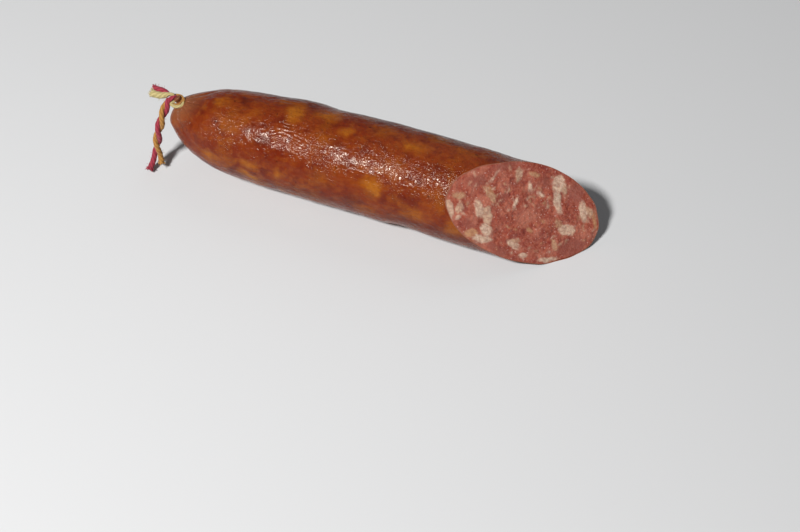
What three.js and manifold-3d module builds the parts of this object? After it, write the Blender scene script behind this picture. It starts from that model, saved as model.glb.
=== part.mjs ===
// A length of cured sausage, tied at one end with two-colour string and cut obliquely at the other.
// Millimetres, +Z up. The sausage lies along X with its cut at +X and its tied end at -X, on a
// narrow flat along its underside. The origin is below the middle of the sausage, at that flat.

import * as THREE from 'three';
import { mergeVertices } from 'three/addons/utils/BufferGeometryUtils.js';
import Module from 'manifold-3d';

// Casing: its radius, the flat that it rests on, and where the string ties it
const casingRadius = 17.8;
const flatDepth = 0.45;
const tieX = -78.6;
const sweepEndX = 93.4;

// The tied end curls up: the rise of its tie above the axis, and how fast the rise fades along X
const curlHeight = 10;
const curlReach = 7;

// The bow seen from above: its crown, where the crown lies, and its fall at one bowReach from there
const bowCrown = 0.9;
const bowCrownX = -18.6;
const bowFall = 1.5;
const bowReach = 60;

// Taper from the full casing to the neck, and the gathered neck and stub beyond the string
const taperLength = 14.5;
const taperPower = 0.6;
const neckRadius = 1.25;
const neckHalf = 1.5;
const stubLength = 3.2;
const stubRadius = 1.85;

// Folds that gather the casing into the neck
const foldCount = 9;
const foldDepth = 0.13;
const foldReach = 7.5;

// Long, shallow swellings: length along the casing, lobes round it, phase and height
const swellings = [
  { length: 47, lobes: 1, phase: 0.6, height: 0.15 },
  { length: 31, lobes: 2, phase: 2.1, height: 0.13 },
  { length: 23, lobes: 3, phase: 4.0, height: 0.11 },
  { length: 17, lobes: 2, phase: 5.2, height: 0.07 },
];
const swellingStart = 14;

// Mesh of the casing
const ringSides = 60;
const endRings = 22;
const endRingReach = 30;
const bodyRings = 38;

// Oblique cut: where it crosses the axis, its tilt from square, and the way its long tip points
const cutX = 57.4;
const cutTilt = THREE.MathUtils.degToRad(55.3);
const cutRoll = THREE.MathUtils.degToRad(-43);
const cutHeelDip = 2.6;
const knifeSize = 84;
const knifeDepth = 60;
const knifeSteps = 34;
const cutRelief = 0.16;

// String: one ring round the neck, its knot, a short end and a long hanging end
const stringRadius = 0.7;
const ringRadius = 2.4;
const ringTilt = THREE.MathUtils.degToRad(24);
const knotSize = new THREE.Vector3(1.45, 1.15, 1.25);
const tailRadius = 1.45;

const wasm = await Module();
wasm.setup();

// Shape functions

const centreHeight = casingRadius - flatDepth;

class Centreline extends THREE.Curve {
  getPoint(t, target = new THREE.Vector3()) {
    const fromTie = t * (sweepEndX - tieX);
    const x = tieX + fromTie;
    const bow = bowCrown - bowFall * ((x - bowCrownX) / bowReach) ** 2;
    return target.set(x, bow, centreHeight + curlHeight * Math.exp(-fromTie / curlReach));
  }
}

const centreline = new Centreline();
centreline.arcLengthDivisions = 2000;
const sweepLength = centreline.getLength();
const tiePoint = centreline.getPointAt(0);
const neckAxis = centreline.getTangentAt(0).negate();

// The frame of the section at a distance from the tie, measured along the centreline
function sectionFrame(distance) {
  const u = THREE.MathUtils.clamp(distance / sweepLength, 0, 1);
  const centre = centreline.getPointAt(u);
  const along = centreline.getTangentAt(u);
  if (distance < 0) {
    centre.addScaledVector(neckAxis, -distance);
  }
  const side = new THREE.Vector3().crossVectors(new THREE.Vector3(0, 0, 1), along).normalize();
  const up = new THREE.Vector3().crossVectors(along, side);
  return { centre, side, up };
}

function sectionRadius(distance) {
  if (distance < -neckHalf) {
    const out = (-distance - neckHalf) / (stubLength - neckHalf);
    return neckRadius + (stubRadius - neckRadius) * Math.sin(out * Math.PI * 0.62);
  }
  const past = Math.max(distance - neckHalf, 0);
  const full = casingRadius * (1 - Math.exp(-past / taperLength)) ** taperPower;
  return Math.max(neckRadius, full);
}

function swell(distance, angle) {
  const fade = THREE.MathUtils.smoothstep(distance, swellingStart, 2.4 * swellingStart);
  let height = 0;
  for (const s of swellings) {
    height += s.height * Math.sin((2 * Math.PI * distance) / s.length + s.lobes * angle + s.phase);
  }
  return height * fade;
}

function foldShare(distance, angle) {
  const wander = 0.7 * Math.sin(2 * angle + 0.8) + 0.4 * Math.sin(5 * angle);
  const crease = 1 - Math.abs(Math.cos((foldCount * angle + wander) / 2));
  const near = Math.exp(-Math.abs(distance) / foldReach);
  return foldDepth * near * crease * crease;
}

// Solids from geometries and back

function toSolid(geometry) {
  const bare = geometry.clone();
  bare.deleteAttribute('normal');
  bare.deleteAttribute('uv');
  const merged = mergeVertices(bare, 1e-4);
  return new wasm.Manifold(new wasm.Mesh({
    numProp: 3,
    vertProperties: new Float32Array(merged.attributes.position.array),
    triVerts: new Uint32Array(merged.index.array),
  }));
}

function toGeometry(solid) {
  const mesh = solid.getMesh();
  const geometry = new THREE.BufferGeometry();
  geometry.setAttribute('position', new THREE.BufferAttribute(new Float32Array(mesh.vertProperties), 3));
  geometry.setIndex(new THREE.BufferAttribute(new Uint32Array(mesh.triVerts), 1));
  geometry.computeVertexNormals();
  return geometry;
}

function moveVertices(geometry, place) {
  const position = geometry.attributes.position;
  const point = new THREE.Vector3();
  for (let i = 0; i < position.count; i += 1) {
    point.fromBufferAttribute(position, i);
    place(point);
    position.setXYZ(i, point.x, point.y, point.z);
  }
  return geometry;
}

// Casing before the cut: a turned profile, swept along the centreline and uneven all over
function casingBlank() {
  const distances = [];
  for (let i = 0; i <= endRings; i += 1) {
    const share = i / endRings;
    distances.push(-stubLength + (endRingReach + stubLength) * share ** 1.5);
  }
  for (let i = 1; i <= bodyRings; i += 1) {
    distances.push(endRingReach + ((sweepLength - endRingReach) * i) / bodyRings);
  }
  const profile = distances.map((d) => new THREE.Vector2(sectionRadius(d), d));
  profile.unshift(new THREE.Vector2(0, distances[0]));
  profile.push(new THREE.Vector2(0, distances[distances.length - 1]));
  const turned = new THREE.LatheGeometry(profile, ringSides);
  return moveVertices(turned, (point) => {
    const distance = point.y;
    const spoke = Math.hypot(point.x, point.z);
    const angle = Math.atan2(point.x, point.z);
    const { centre, side, up } = sectionFrame(distance);
    let reach = 0;
    if (spoke > 0) {
      reach = spoke * (1 - foldShare(distance, angle)) + swell(distance, angle);
    }
    point.copy(centre);
    point.addScaledVector(side, reach * Math.cos(angle));
    point.addScaledVector(up, reach * Math.sin(angle));
    point.z = Math.max(point.z, 0);
  });
}

// What the knife takes away: a block whose front face is the uneven, slightly hollow cut
function knifeBlock() {
  const long = new THREE.Vector3(0, Math.cos(cutRoll), Math.sin(cutRoll));
  const out = new THREE.Vector3(Math.cos(cutTilt), 0, 0).addScaledVector(long, -Math.sin(cutTilt));
  const slope = new THREE.Vector3(Math.sin(cutTilt), 0, 0).addScaledVector(long, Math.cos(cutTilt));
  const across = new THREE.Vector3().crossVectors(out, slope);
  const halfLength = casingRadius / Math.cos(cutTilt);
  const block = new THREE.BoxGeometry(knifeSize, knifeSize, knifeDepth, knifeSteps, knifeSteps, 1);
  block.translate(0, 0, knifeDepth / 2);
  moveVertices(block, (point) => {
    if (point.z === 0) {
      const heel = Math.max(-point.x / halfLength, 0);
      const bumps = Math.sin(0.41 * point.x + 1.1) * Math.sin(0.52 * point.y + 0.4)
        + 0.5 * Math.sin(0.67 * point.x - 0.45 * point.y);
      point.z = cutRelief * bumps - cutHeelDip * Math.min(heel, 1.2) ** 4 * Math.cos(cutTilt);
    }
  });
  const turn = new THREE.Matrix4().makeBasis(slope, across, out);
  turn.setPosition(cutX, centreline.getPointAt(0.8).y, centreHeight);
  block.applyMatrix4(turn);
  return block;
}

function sausageSolid() {
  return toSolid(casingBlank()).subtract(toSolid(knifeBlock()));
}

// The string's ring and knot. The ring leans on the neck, so that its front sits a little low
const ringAxis = neckAxis.clone().applyAxisAngle(new THREE.Vector3(1, 0, 0), ringTilt);
const ringLeft = new THREE.Vector3().crossVectors(ringAxis, new THREE.Vector3(0.2, 1, 0)).normalize();
const ringFront = new THREE.Vector3().crossVectors(ringAxis, ringLeft);
const knotPoint = tiePoint.clone();
knotPoint.addScaledVector(ringLeft, ringRadius + 1.1);
knotPoint.addScaledVector(ringFront, 0.4);

function knotSolid() {
  const ring = new THREE.TorusGeometry(ringRadius, stringRadius, 8, 28);
  const place = new THREE.Matrix4().makeBasis(ringLeft, ringFront, ringAxis);
  place.setPosition(tiePoint);
  ring.applyMatrix4(place);
  const knot = new THREE.SphereGeometry(1, 14, 10);
  knot.scale(knotSize.x, knotSize.y, knotSize.z);
  knot.applyMatrix4(place.setPosition(knotPoint));
  return toSolid(ring).add(toSolid(knot));
}

// Ends of the string, along routes through points chosen by hand. The first point of the long end lies inside the
// knot, so its tube starts at the second.
const longEndRoute = [
  [-81.3, -1.3, 27.3], [-81.9, -2.6, 26.6], [-82.1, -4.0, 25.4], [-82.4, -5.3, 24.0],
  [-82.7, -6.4, 22.4], [-83.1, -7.3, 20.5], [-83.5, -8.0, 18.5], [-83.9, -8.6, 16.4],
  [-84.3, -9.1, 14.2], [-84.5, -9.5, 12.0], [-84.7, -9.9, 9.8], [-84.8, -10.4, 7.7],
  [-84.8, -11.0, 5.7], [-84.8, -11.9, 3.9], [-84.9, -13.1, 2.6], [-85.0, -14.6, 1.8],
];
const shortEndRoute = [
  [-83.2, -0.6, 27.9], [-85.2, -0.5, 28.2], [-87.4, -0.1, 28.1], [-90.0, 0.8, 27.6],
];

function stringTube(route, steps) {
  const path = new THREE.CatmullRomCurve3(route.map((p) => new THREE.Vector3(...p)));
  const section = new THREE.Shape();
  const sides = 8;
  for (let i = 0; i < sides; i += 1) {
    const angle = (2 * Math.PI * i) / sides;
    const corner = [tailRadius * Math.cos(angle), tailRadius * Math.sin(angle)];
    if (i === 0) {
      section.moveTo(...corner);
    } else {
      section.lineTo(...corner);
    }
  }
  section.closePath();
  return new THREE.ExtrudeGeometry(section, { extrudePath: path, steps, curveSegments: 1 });
}

// Assembly

function addPiece(group, name, geometry, colour, roughness) {
  const material = new THREE.MeshStandardMaterial({ color: colour, roughness, metalness: 0 });
  const mesh = new THREE.Mesh(geometry, material);
  mesh.name = name;
  group.add(mesh);
  return mesh;
}

const part = new THREE.Group();
const longEnd = stringTube(longEndRoute.slice(1), 14);
const shortEnd = stringTube(shortEndRoute, 5);
addPiece(part, 'sausage', toGeometry(sausageSolid()), '#7d3719', 0.38);
addPiece(part, 'string_knot', toGeometry(knotSolid()), '#c39a68', 0.85);
addPiece(part, 'string_long_end', longEnd, '#b8763f', 0.85);
addPiece(part, 'string_short_end', shortEnd, '#b98a5e', 0.85);

export default part;
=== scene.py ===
"""The half of a cured sausage that is tied with two-colour string and cut obliquely. Sizes are in mm."""

import math
import random

import bpy
import numpy as np
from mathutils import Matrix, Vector, noise


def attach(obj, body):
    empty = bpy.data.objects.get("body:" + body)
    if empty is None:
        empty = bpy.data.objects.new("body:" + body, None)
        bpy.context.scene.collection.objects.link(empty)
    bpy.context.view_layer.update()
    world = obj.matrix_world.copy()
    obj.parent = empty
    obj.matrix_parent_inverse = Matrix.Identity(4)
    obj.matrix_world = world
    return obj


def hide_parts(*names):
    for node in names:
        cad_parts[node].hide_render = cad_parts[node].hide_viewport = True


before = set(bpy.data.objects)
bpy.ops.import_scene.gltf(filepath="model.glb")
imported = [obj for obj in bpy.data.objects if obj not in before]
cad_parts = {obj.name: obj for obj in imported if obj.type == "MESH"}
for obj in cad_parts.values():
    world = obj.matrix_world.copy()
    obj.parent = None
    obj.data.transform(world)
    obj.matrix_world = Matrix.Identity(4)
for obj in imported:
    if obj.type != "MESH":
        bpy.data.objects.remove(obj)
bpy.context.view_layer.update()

MM = 0.001

# Casing, as the solid has it, but fuller where it gathers under the string, and with a fold that hangs there
CASING_RADIUS = 17.8
FLAT_DEPTH = 0.45
CENTRE_HEIGHT = CASING_RADIUS - FLAT_DEPTH
MIDDLE = (0.0, 0.0, CENTRE_HEIGHT)
TIE_X, SWEEP_END_X = -78.6, 93.4
CURL_HEIGHT, CURL_REACH = 10.0, 7.0
BOW_CROWN, BOW_CROWN_X, BOW_FALL, BOW_REACH = 0.9, -18.6, 1.5, 60.0
TAPER_LENGTH, TAPER_POWER = 14.5, 0.6
NECK_RADIUS, NECK_HALF, STUB_LENGTH, STUB_RADIUS = 1.2, 0.4, 1.9, 1.45
NECK_SHIFT_RIGHT, NECK_SHIFT_REACH = 0.9, 6.0
FLAP_DISTANCE, FLAP_REACH, FLAP_ANGLE, FLAP_SPREAD, FLAP_HEIGHT = 2.6, 2.4, 3.72, 0.55, 1.8
FOLD_COUNT, FOLD_DEPTH, FOLD_REACH = 9, 0.13, 7.5
FINE_FOLD_COUNT, FINE_FOLD_DEPTH, FINE_FOLD_REACH = 23, 0.045, 6.0
SWELLINGS = [(47, 1, 0.6, 0.15), (31, 2, 2.1, 0.13), (23, 3, 4.0, 0.11), (17, 2, 5.2, 0.07)]
SWELLING_START = 14.0

# Cut, as the solid has it
CUT_X, CUT_TILT, CUT_ROLL = 57.4, math.radians(55.3), math.radians(-43)
CUT_HEEL_DIP, CUT_RELIEF = 2.6, 0.16
CASING_WALL, RECESS_DEPTH, PLAY = 0.20, 3.0, 0.02

# String: radius of a ply, how far it winds off the middle, the length of one turn, where the red ply lies to
# the right, where the winding stops, and how long the loose stretch is
PLY_RADIUS, PLY_OFFSET, LAY_LENGTH = 0.98, 0.80, 13.0
FIRST_RIGHT, UNWOUND_FROM, LOOSE_LENGTH = 4.0, 23.5, 9.0
LONG_END_ROUTE = [
    (-81.3, -1.3, 27.3), (-81.9, -2.6, 26.6), (-82.1, -4.0, 25.4), (-82.4, -5.3, 24.0),
    (-82.7, -6.4, 22.4), (-83.1, -7.3, 20.5), (-83.5, -8.0, 18.5), (-83.9, -8.6, 16.4),
    (-84.3, -9.1, 14.2), (-84.5, -9.5, 12.0), (-84.7, -9.9, 9.8), (-84.8, -10.4, 7.7),
    (-84.8, -11.0, 5.7), (-84.8, -11.9, 3.9), (-84.9, -13.1, 2.6), (-85.0, -14.6, 1.8)]

# Camera, as the photograph was taken: above the table and turned to the cut's side
CAMERA_TURN, CAMERA_RISE = math.radians(20), math.radians(50)
CAMERA_DISTANCE, CAMERA_LENS = 520.0, 65.0
CAMERA_TARGET = np.array([18.7, -26.25, 0.0])

SEED = 7
BODY_RINGS, BODY_SIDES = 296, 320
FACE_RINGS, FACE_SIDES = 120, 300
LINE_STEPS = 24
PLY_SIDES, KNOT_PLY_SIDES = 16, 12
LONG_END_POINTS, SHORT_STRAND_POINTS = 80, 34


# Camera

def make_camera():
    """Makes the camera and returns the direction from the object to it."""
    back = np.array([math.sin(CAMERA_TURN) * math.cos(CAMERA_RISE),
                     -math.cos(CAMERA_TURN) * math.cos(CAMERA_RISE),
                     math.sin(CAMERA_RISE)])
    camera = bpy.data.objects.new("camera", bpy.data.cameras.new("camera"))
    bpy.context.collection.objects.link(camera)
    camera.data.lens = CAMERA_LENS
    camera.data.clip_start = 0.01
    camera.location = Vector((CAMERA_TARGET + CAMERA_DISTANCE * back) * MM)
    camera.rotation_euler = Vector(-back).to_track_quat("-Z", "Y").to_euler()
    bpy.context.scene.camera = camera
    return back


TO_CAMERA = make_camera()
PICTURE_RIGHT = np.array([math.cos(CAMERA_TURN), math.sin(CAMERA_TURN), 0.0])
PICTURE_UP = np.cross(TO_CAMERA, PICTURE_RIGHT)


# Small helpers

def unit(v):
    """Vectors of length 1 that point the same way."""
    v = np.asarray(v, float)
    return v / np.linalg.norm(v, axis=-1, keepdims=True)


def smoothstep(x, low, high):
    """Rises smoothly from 0 at low to 1 at high. It falls where low is the larger."""
    t = np.clip((np.asarray(x, float) - low) / (high - low), 0, 1)
    return t * t * (3 - 2 * t)


def field(points, size, seed=0.0):
    """Smooth noise from -1 to 1 at each point, its features about size across."""
    scaled = np.asarray(points, float) / size + seed
    return np.array([noise.noise(p) for p in scaled])


def lengths_along(line):
    """Length of a line up to each of its points."""
    return np.concatenate([[0], np.cumsum(np.linalg.norm(np.diff(line, axis=0), axis=1))])


def read_off(at, along, values):
    """Points or directions at given lengths, from a table of them by length."""
    return np.stack([np.interp(at, along, values[:, k]) for k in range(3)], -1)


def off_angle(angle, turn):
    """How far angles lie from a turn, from -pi to pi."""
    return np.arctan2(np.sin(angle - turn), np.cos(angle - turn))


def smooth_line(points, count):
    """Points along a Catmull-Rom line through the given ones, evenly spaced by length."""
    p = np.asarray(points, float)
    p = np.vstack([2 * p[0] - p[1], p, 2 * p[-1] - p[-2]])
    dense = []
    for a, b, c, d in zip(p[:-3], p[1:-2], p[2:-1], p[3:]):
        t = np.linspace(0, 1, LINE_STEPS, endpoint=False)[:, None]
        dense.append(0.5 * (2 * b + (c - a) * t + (2 * a - 5 * b + 4 * c - d) * t ** 2
                            + (3 * b - a - 3 * c + d) * t ** 3))
    dense = np.vstack(dense + [p[-2:-1]])
    along = lengths_along(dense)
    even = np.linspace(0, along[-1], count)
    return read_off(even, along, dense), even


def line_frames(line):
    """Two directions square to a line at each of its points, carried along without twist."""
    tangents = unit(np.gradient(line, axis=0))
    first = np.cross(tangents[0], [0.3, 0.2, 1.0])
    normals = [unit(first)]
    for t in tangents[1:]:
        n = normals[-1] - t * (normals[-1] @ t)
        normals.append(unit(n))
    normals = np.array(normals)
    return normals, np.cross(tangents, normals)


class Pieces:
    """Gathers vertices, faces, material slots, the UVs of strands and their cut ends for one mesh."""

    def __init__(self):
        self.vertices, self.faces, self.slots, self.uvs, self.cut = [], [], [], [], []
        self.count = 0

    def add(self, vertices, faces, slot=0, uvs=None, cut=None):
        self.vertices.append(np.asarray(vertices, float))
        self.faces += [tuple(i + self.count for i in f) for f in faces]
        self.slots += [slot] * len(faces)
        self.uvs += uvs if uvs is not None else [[(0.0, 0.0)] * len(f) for f in faces]
        self.cut += cut if cut is not None else [0.0] * len(faces)
        self.count += len(vertices)

    def tube(self, line, radius, sides, slot, cut_end=False):
        """A closed tube along a line. Its UVs are turns round it and millimetres along it."""
        line = np.asarray(line, float)
        radius = np.broadcast_to(radius, len(line))
        normal, other = line_frames(line)
        turn = np.linspace(0, 2 * math.pi, sides, endpoint=False)
        ring = normal[:, None] * np.cos(turn)[:, None] + other[:, None] * np.sin(turn)[:, None]
        body = (line[:, None] + ring * radius[:, None, None]).reshape(-1, 3)
        vertices = np.vstack([body, line[0] - 0.3 * radius[0] * unit(line[1] - line[0]),
                              line[-1] + 0.3 * radius[-1] * unit(line[-1] - line[-2])])
        along = lengths_along(line)
        faces, uvs = [], []
        for i in range(len(line) - 1):
            for j in range(sides):
                k = (j + 1) % sides
                faces.append((i * sides + j, i * sides + k, (i + 1) * sides + k, (i + 1) * sides + j))
                u0, u1 = j / sides, (j + 1) / sides
                uvs.append([(u0, along[i]), (u1, along[i]), (u1, along[i + 1]), (u0, along[i + 1])])
        low, high = len(body), len(body) + 1
        last = (len(line) - 1) * sides
        faces += [(low, (j + 1) % sides, j) for j in range(sides)]
        faces += [(high, last + j, last + (j + 1) % sides) for j in range(sides)]
        uvs += [[(0.5, along[0])] * 3] * sides + [[(0.5, along[-1])] * 3] * sides
        cut = [0.0] * (len(faces) - sides) + [1.0 if cut_end else 0.0] * sides
        self.add(vertices, faces, slot, uvs, cut)

    def make(self, name, materials, **attributes):
        """The finished piece. An attribute is given for the first vertices and is 0 at the rest."""
        mesh = bpy.data.meshes.new(name)
        mesh.from_pydata((np.vstack(self.vertices) * MM).tolist(), [], self.faces)
        mesh.polygons.foreach_set("material_index", self.slots)
        mesh.polygons.foreach_set("use_smooth", [True] * len(self.faces))
        layer = mesh.uv_layers.new(name="strand")
        layer.data.foreach_set("uv", [c for f in self.uvs for uv in f for c in uv])
        mesh.attributes.new("cut", "FLOAT", "FACE").data.foreach_set("value", self.cut)
        for key, values in attributes.items():
            padded = np.zeros(len(mesh.vertices))
            padded[:len(values)] = values
            mesh.attributes.new(key, "FLOAT", "POINT").data.foreach_set("value", padded)
        for material in materials:
            mesh.materials.append(material)
        mesh.update()
        piece = bpy.data.objects.new(name, mesh)
        bpy.context.collection.objects.link(piece)
        return piece


# Nodes and materials

def linear(code):
    """Linear colour of an sRGB hex code."""
    srgb = [int(code[i:i + 2], 16) / 255 for i in (1, 3, 5)]
    return tuple(c / 12.92 if c <= 0.04045 else ((c + 0.055) / 1.055) ** 2.4 for c in srgb) + (1.0,)


def node(tree, kind, inputs=None, out=0, **settings):
    """Adds one node with its settings and links, and returns one of its outputs. A hex code is a colour."""
    made = tree.nodes.new(kind)
    for key, value in settings.items():
        setattr(made, key, value)
    for key, value in (inputs or {}).items():
        if isinstance(value, bpy.types.NodeSocket):
            tree.links.new(value, made.inputs[key])
        else:
            is_colour = isinstance(value, str) and value.startswith("#")
            made.inputs[key].default_value = linear(value) if is_colour else value
    return made.outputs[out] if made.outputs else None


def new_material(name):
    material = bpy.data.materials.new(name)
    material.use_nodes = True
    material.node_tree.nodes.clear()
    return material, material.node_tree


def finish_surface(tree, **inputs):
    """Ends a material with its Principled surface."""
    named = {key.replace("_", " "): value for key, value in inputs.items()}
    node(tree, "ShaderNodeOutputMaterial", {"Surface": node(tree, "ShaderNodeBsdfPrincipled", named)})


def placed(tree, stretch=(1.0, 1.0, 1.0), shift=(0.0, 0.0, 0.0)):
    """Object coordinates in millimetres, divided by a stretch and shifted."""
    where = node(tree, "ShaderNodeTexCoord", out="Object")
    scale = tuple(1 / (MM * s) for s in stretch)
    return node(tree, "ShaderNodeMapping", {"Vector": where, "Location": shift, "Scale": scale})


def pushed(tree, where, size, reach):
    """Coordinates pushed about by noise of a size, so that patterns on them look grown."""
    noise_inputs = {"Vector": where, "Scale": 1 / size, "Detail": 2.0}
    noise_colour = node(tree, "ShaderNodeTexNoise", noise_inputs, "Color")
    centred = node(tree, "ShaderNodeVectorMath", {0: noise_colour, 1: (0.5, 0.5, 0.5)}, operation="SUBTRACT")
    push = node(tree, "ShaderNodeVectorMath", {0: centred, "Scale": reach * 2}, operation="SCALE")
    return node(tree, "ShaderNodeVectorMath", {0: where, 1: push}, operation="ADD")


def tinted(tree, colour, tint, value, low, high, share=1.0):
    """Lays a tint over a colour where a value rises from low to high, up to a share of it."""
    mask = node(tree, "ShaderNodeMapRange", {
        "Value": value, "From Min": low, "From Max": high, "To Max": share}, interpolation_type="SMOOTHSTEP")
    return node(tree, "ShaderNodeMix", {0: mask, 6: colour, 7: tint}, 2, data_type="RGBA")


def blotched(tree, colour, tint, where, size, low, high, share=1.0, detail=2.0):
    """Lays a tint over a colour in soft blotches about a size across."""
    value = node(tree, "ShaderNodeTexNoise", {"Vector": where, "Scale": 1 / size, "Detail": detail})
    return tinted(tree, colour, tint, value, low, high, share)


def roughened(tree, where, size, height, strength=0.8, normal=None):
    """A normal with bumps about a size across and a height high, on top of another normal."""
    value = node(tree, "ShaderNodeTexNoise", {
        "Vector": where, "Scale": 1 / size, "Detail": 2.0, "Roughness": 0.6})
    inputs = {"Height": value, "Distance": height * MM, "Strength": strength}
    return node(tree, "ShaderNodeBump", {**inputs, "Normal": normal} if normal else inputs)


CREASE_STEEPNESS = 9.0


def creases(tree, where, size):
    """Thin raised lines: one on the line where noise crosses its middle, falling away to both sides."""
    value = node(tree, "ShaderNodeTexNoise", {
        "Vector": where, "Scale": 1 / size, "Detail": 2.0, "Roughness": 0.55})
    above = node(tree, "ShaderNodeMath", {0: value, 1: 0.5}, operation="SUBTRACT")
    off = node(tree, "ShaderNodeMath", {0: above}, operation="ABSOLUTE")
    fall = node(tree, "ShaderNodeMath", {0: off, 1: CREASE_STEEPNESS}, operation="MULTIPLY")
    return node(tree, "ShaderNodeMath", {0: 1.0, 1: fall}, operation="SUBTRACT", use_clamp=True)


def dried_casing():
    """Dried natural casing: thin and glossy, so that fat shows through as blurred orange clouds and lean as
    dark ones, with painted shade in long dark bands along its top and lower edges, and finely crinkled, so
    that its highlight breaks up into short lines and sparks."""
    material, tree = new_material("dried_casing")
    mm = placed(tree)
    fat = node(tree, "ShaderNodeAttribute", out="Fac", attribute_name="fat")
    dark = node(tree, "ShaderNodeAttribute", out="Fac", attribute_name="dark")
    mottle = node(tree, "ShaderNodeTexNoise", {
        "Vector": pushed(tree, mm, 3.0, 1.2), "Scale": 1 / 2.6, "Detail": 3.0, "Roughness": 0.55})
    long_mm = pushed(tree, placed(tree, (1.3, 1.0, 1.0)), 8.0, 3.5)
    cloud = node(tree, "ShaderNodeTexNoise", {
        "Vector": long_mm, "Scale": 1 / 9.0, "Detail": 2.0, "Roughness": 0.45})
    cloud = node(tree, "ShaderNodeMapRange", {
        "Value": cloud, "From Min": 0.48, "From Max": 0.70, "To Max": 0.55}, interpolation_type="SMOOTHSTEP")
    most = node(tree, "ShaderNodeMath", {0: fat, 1: cloud}, operation="MAXIMUM")
    uneven = node(tree, "ShaderNodeMath", {0: mottle, 1: 0.7, 2: 0.65}, operation="MULTIPLY_ADD")
    fat = node(tree, "ShaderNodeMath", {0: most, 1: uneven}, operation="MULTIPLY", use_clamp=True)
    colour = blotched(tree, "#6c230d", "#7a3112", mm, 14.0, 0.36, 0.64)
    colour = tinted(tree, colour, "#874014", mottle, 0.44, 0.68, 0.60)
    colour = blotched(tree, colour, "#591a10", placed(tree, shift=(8.0, 2.0, 5.0)), 4.0, 0.50, 0.70, 0.6)
    colour = tinted(tree, colour, "#934e12", fat, 0.05, 1.00, 0.88)
    colour = tinted(tree, colour, "#a56319", fat, 0.65, 1.20, 0.75)
    # Dark meat under the casing, and painted shade in long bands along its top and lower edges
    colour = tinted(tree, colour, "#50180f", dark, 0.0, 1.0, 0.80)
    grain = node(tree, "ShaderNodeTexNoise", {
        "Vector": mm, "Scale": 1 / 1.1, "Detail": 3.0, "Roughness": 0.6})
    colour = tinted(tree, colour, "#441509", grain, 0.35, 0.70, 0.18)
    specks = placed(tree, shift=(5.0, 5.0, 5.0))
    colour = blotched(tree, colour, "#331009", specks, 1.5, 0.80, 0.86, 0.55, 0.0)
    ends = {0: node(tree, "ShaderNodeTexCoord", out="Object"), 1: tuple(TIE_POINT * MM)}
    from_tie_point = node(tree, "ShaderNodeVectorMath", ends, "Value", operation="DISTANCE")
    colour = tinted(tree, colour, "#85563a", from_tie_point, 15.0 * MM, 1.0 * MM, 0.80)

    crumple = node(tree, "ShaderNodeTexNoise", {
        "Vector": placed(tree, shift=(2.0, -8.0, 4.0)), "Scale": 1 / 12.0, "Detail": 2.0})
    crumple = node(tree, "ShaderNodeMapRange", {
        "Value": crumple, "From Min": 0.38, "From Max": 0.58, "To Min": 0.35, "To Max": 1.0})
    lines = node(tree, "ShaderNodeMath", {
        0: creases(tree, pushed(tree, placed(tree, (1.8, 1.0, 1.0)), 2.6, 1.0), 1.8),
        1: creases(tree, pushed(tree, placed(tree, shift=(9.0, 3.0, 1.0)), 1.8, 0.7), 1.1)}, operation="ADD")
    lines = node(tree, "ShaderNodeMath", {0: lines, 1: crumple}, operation="MULTIPLY")
    normal = roughened(tree, mm, 0.7, 0.035)
    normal = roughened(tree, mm, 1.6, 0.07, 0.8, normal)
    normal = node(tree, "ShaderNodeBump", {
        "Height": lines, "Distance": 0.085 * MM, "Strength": 0.9, "Normal": normal})
    finish_surface(
        tree, Base_Color=colour, Normal=normal, IOR=1.45,
        Specular_IOR_Level=0.25, Specular_Tint=(1.0, 0.93, 0.82, 1.0),
        Roughness=node(tree, "ShaderNodeMath", {0: grain, 1: 0.15, 2: 0.10}, operation="MULTIPLY_ADD"),
        Subsurface_Weight=0.15, Subsurface_Radius=(1.0, 0.35, 0.15), Subsurface_Scale=2.0 * MM)
    return material


def cut_casing():
    """The casing's own thickness where the knife went through it: a thin matt line round the meat."""
    material, tree = new_material("cut_casing")
    finish_surface(tree, Base_Color=linear("#8c5540"), Roughness=0.5, IOR=1.45, Specular_IOR_Level=0.3)
    return material


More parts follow.
